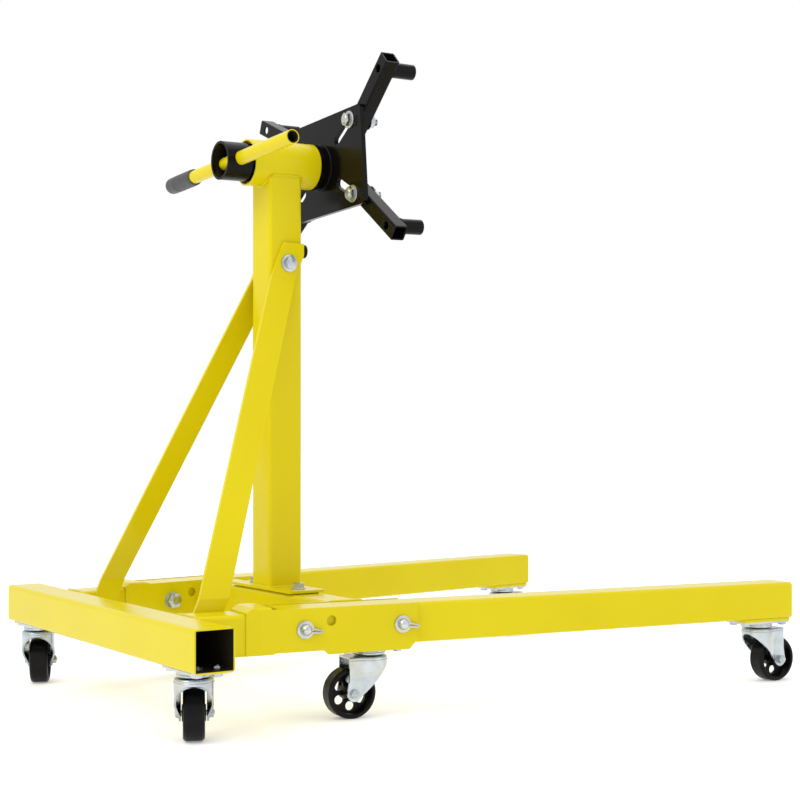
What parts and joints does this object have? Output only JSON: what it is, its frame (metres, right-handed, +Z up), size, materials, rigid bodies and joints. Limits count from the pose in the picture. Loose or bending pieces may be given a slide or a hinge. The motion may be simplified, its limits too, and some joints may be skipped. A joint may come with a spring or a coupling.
{
  "type": "folding engine stand",
  "caption": "Wheeled folding engine stand: splayed fold-up legs, braced mast, rotating head with adjustable mounting arms.",
  "frame": {"origin": "on the floor under the middle of the whole stand's bounding box", "axes": "+X forward towards the engine and the leg ends, +Y to the left, +Z up"},
  "size_m": [1.1296, 0.7798, 1.0143],
  "materials": {
    "yellow_paint": "glossy bright yellow powder coat",
    "black_paint": "glossy black powder coat",
    "zinc_plated_steel": "bright zinc plate",
    "black_wheel": "semi-gloss black moulded wheel",
    "grip_rubber": "dark grey dipped grip"
  },
  "bodies": {
    "frame": {"rear_cross_tube": "yellow_paint", "side_member_L": "yellow_paint", "side_member_R": "yellow_paint", "bracket_L": "yellow_paint", "bracket_R": "yellow_paint", "mid_cross_tube": "yellow_paint", "mast_base_pad": "yellow_paint", "mast_base_plate": "yellow_paint", "mast_base_bolts": "zinc_plated_steel", "mast_post": "yellow_paint", "head_sleeve": "yellow_paint", "brace_L": "yellow_paint", "brace_R": "yellow_paint", "brace_bolt": "zinc_plated_steel", "pivot_pins": "zinc_plated_steel", "caster_plates_frame": "zinc_plated_steel", "caster_bolts_frame": "zinc_plated_steel"},
    "head": {"spindle_tube": "black_paint", "spindle_collar": "black_paint", "face_plate": "black_paint"},
    "handle": {"handle_bar": "yellow_paint", "handle_grip": "grip_rubber"},
    "clamp_upper_L": {"arm_bolt_upper_L": "zinc_plated_steel"},
    "arm_upper_L": {"arm_upper_L": "black_paint"},
    "clamp_upper_R": {"arm_bolt_upper_R": "zinc_plated_steel"},
    "arm_upper_R": {"arm_upper_R": "black_paint"},
    "clamp_lower_L": {"arm_bolt_lower_L": "zinc_plated_steel"},
    "arm_lower_L": {"arm_lower_L": "black_paint"},
    "clamp_lower_R": {"arm_bolt_lower_R": "zinc_plated_steel"},
    "arm_lower_R": {"arm_lower_R": "black_paint"},
    "leg_L": {"leg_L": "yellow_paint", "leg_pad_L": "yellow_paint", "caster_plate_leg_L": "zinc_plated_steel", "caster_bolts_leg_L": "zinc_plated_steel"},
    "lock_L": {"lock_pin_L": "zinc_plated_steel"},
    "leg_R": {"leg_R": "yellow_paint", "leg_pad_R": "yellow_paint", "caster_plate_leg_R": "zinc_plated_steel", "caster_bolts_leg_R": "zinc_plated_steel"},
    "lock_R": {"lock_pin_R": "zinc_plated_steel"},
    "fork_rear_L": {"fork_rear_L": "zinc_plated_steel", "axle_rear_L": "zinc_plated_steel"},
    "wheel_rear_L": {"wheel_rear_L": "black_wheel"},
    "fork_mid_L": {"fork_mid_L": "zinc_plated_steel", "axle_mid_L": "zinc_plated_steel"},
    "wheel_mid_L": {"wheel_mid_L": "black_wheel"},
    "fork_leg_L": {"fork_leg_L": "zinc_plated_steel", "axle_leg_L": "zinc_plated_steel"},
    "wheel_leg_L": {"wheel_leg_L": "black_wheel"},
    "fork_rear_R": {"fork_rear_R": "zinc_plated_steel", "axle_rear_R": "zinc_plated_steel"},
    "wheel_rear_R": {"wheel_rear_R": "black_wheel"},
    "fork_mid_R": {"fork_mid_R": "zinc_plated_steel", "axle_mid_R": "zinc_plated_steel"},
    "wheel_mid_R": {"wheel_mid_R": "black_wheel"},
    "fork_leg_R": {"fork_leg_R": "zinc_plated_steel", "axle_leg_R": "zinc_plated_steel"},
    "wheel_leg_R": {"wheel_leg_R": "black_wheel"}
  },
  "joints": [
    {"name": "head_spin", "type": "hinge", "parent": "frame", "child": "head", "pos_m": [-0.24284, 0, 0.857], "axis": [0.9994, 0, 0.0349], "continuous": true},
    {"name": "handle_slide", "type": "slide", "parent": "head", "child": "handle", "axis": [0.0012, 0.9994, -0.0349], "range_m": [-0.03, 0.03]},
    {"name": "slot_slide_upper_L", "type": "slide", "parent": "head", "child": "clamp_upper_L", "axis": [-0.0169, 0.8746, 0.4845], "range_m": [-0.048, 0.003]},
    {"name": "arm_swing_upper_L", "type": "hinge", "parent": "clamp_upper_L", "child": "arm_upper_L", "pos_m": [-0.15584, 0.10058, 0.91583], "axis": [0.9994, 0, 0.0349], "range_deg": [-45, 45]},
    {"name": "slot_slide_upper_R", "type": "slide", "parent": "head", "child": "clamp_upper_R", "axis": [-0.019, -0.8387, 0.5443], "range_m": [-0.048, 0.003]},
    {"name": "arm_swing_upper_R", "type": "hinge", "parent": "clamp_upper_R", "child": "arm_upper_R", "pos_m": [-0.15608, -0.09645, 0.9227], "axis": [0.9994, 0, 0.0349], "range_deg": [-45, 45]},
    {"name": "slot_slide_lower_L", "type": "slide", "parent": "head", "child": "clamp_lower_L", "axis": [0.019, 0.8387, -0.5443], "range_m": [-0.048, 0.003]},
    {"name": "arm_swing_lower_L", "type": "hinge", "parent": "clamp_lower_L", "child": "arm_lower_L", "pos_m": [-0.15171, 0.09645, 0.79751], "axis": [0.9994, 0, 0.0349], "range_deg": [-45, 45]},
    {"name": "slot_slide_lower_R", "type": "slide", "parent": "head", "child": "clamp_lower_R", "axis": [0.0169, -0.8746, -0.4845], "range_m": [-0.048, 0.003]},
    {"name": "arm_swing_lower_R", "type": "hinge", "parent": "clamp_lower_R", "child": "arm_lower_R", "pos_m": [-0.15195, -0.10058, 0.80439], "axis": [0.9994, 0, 0.0349], "range_deg": [-45, 45]},
    {"name": "leg_fold_L", "type": "hinge", "parent": "frame", "child": "leg_L", "pos_m": [-0.34114, 0.2328, 0.139], "axis": [0.1426, -0.9898, 0], "range_deg": [0, 80]},
    {"name": "lock_pull_L", "type": "slide", "parent": "frame", "child": "lock_L", "axis": [-0.1426, 0.9898, 0], "range_m": [0, 0.1]},
    {"name": "leg_fold_R", "type": "hinge", "parent": "frame", "child": "leg_R", "pos_m": [-0.34114, -0.2328, 0.139], "axis": [-0.1426, -0.9898, 0], "range_deg": [0, 80]},
    {"name": "lock_pull_R", "type": "slide", "parent": "frame", "child": "lock_R", "axis": [-0.1426, -0.9898, 0], "range_m": [0, 0.1]},
    {"name": "swivel_rear_L", "type": "hinge", "parent": "frame", "child": "fork_rear_L", "pos_m": [-0.53484, 0.295, 0.0915], "axis": [0, 0, 1], "continuous": true},
    {"name": "wheel_spin_rear_L", "type": "hinge", "parent": "fork_rear_L", "child": "wheel_rear_L", "pos_m": [-0.52081, 0.32376, 0.038], "axis": [0.8988, -0.4384, 0], "continuous": true},
    {"name": "swivel_mid_L", "type": "hinge", "parent": "frame", "child": "fork_mid_L", "pos_m": [-0.22583, 0.24942, 0.0915], "axis": [0, 0, 1], "continuous": true},
    {"name": "wheel_spin_mid_L", "type": "hinge", "parent": "fork_mid_L", "child": "wheel_mid_L", "pos_m": [-0.2575, 0.24485, 0.038], "axis": [-0.1426, 0.9898, 0], "continuous": true},
    {"name": "swivel_leg_L", "type": "hinge", "parent": "leg_L", "child": "fork_leg_L", "pos_m": [0.49423, 0.35318, 0.0915], "axis": [0, 0, 1], "continuous": true},
    {"name": "wheel_spin_leg_L", "type": "hinge", "parent": "fork_leg_L", "child": "wheel_leg_L", "pos_m": [0.52615, 0.35552, 0.038], "axis": [0.0732, -0.9973, 0], "continuous": true},
    {"name": "swivel_rear_R", "type": "hinge", "parent": "frame", "child": "fork_rear_R", "pos_m": [-0.53484, -0.295, 0.0915], "axis": [0, 0, 1], "continuous": true},
    {"name": "wheel_spin_rear_R", "type": "hinge", "parent": "fork_rear_R", "child": "wheel_rear_R", "pos_m": [-0.52081, -0.26624, 0.038], "axis": [0.8988, -0.4384, 0], "continuous": true},
    {"name": "swivel_mid_R", "type": "hinge", "parent": "frame", "child": "fork_mid_R", "pos_m": [-0.22583, -0.24942, 0.0915], "axis": [0, 0, 1], "continuous": true},
    {"name": "wheel_spin_mid_R", "type": "hinge", "parent": "fork_mid_R", "child": "wheel_mid_R", "pos_m": [-0.2575, -0.24485, 0.038], "axis": [0.1426, 0.9898, 0], "continuous": true},
    {"name": "swivel_leg_R", "type": "hinge", "parent": "leg_R", "child": "fork_leg_R", "pos_m": [0.49423, -0.35318, 0.0915], "axis": [0, 0, 1], "continuous": true},
    {"name": "wheel_spin_leg_R", "type": "hinge", "parent": "fork_leg_R", "child": "wheel_leg_R", "pos_m": [0.52615, -0.35552, 0.038], "axis": [-0.0732, -0.9973, 0], "continuous": true}
  ]
}
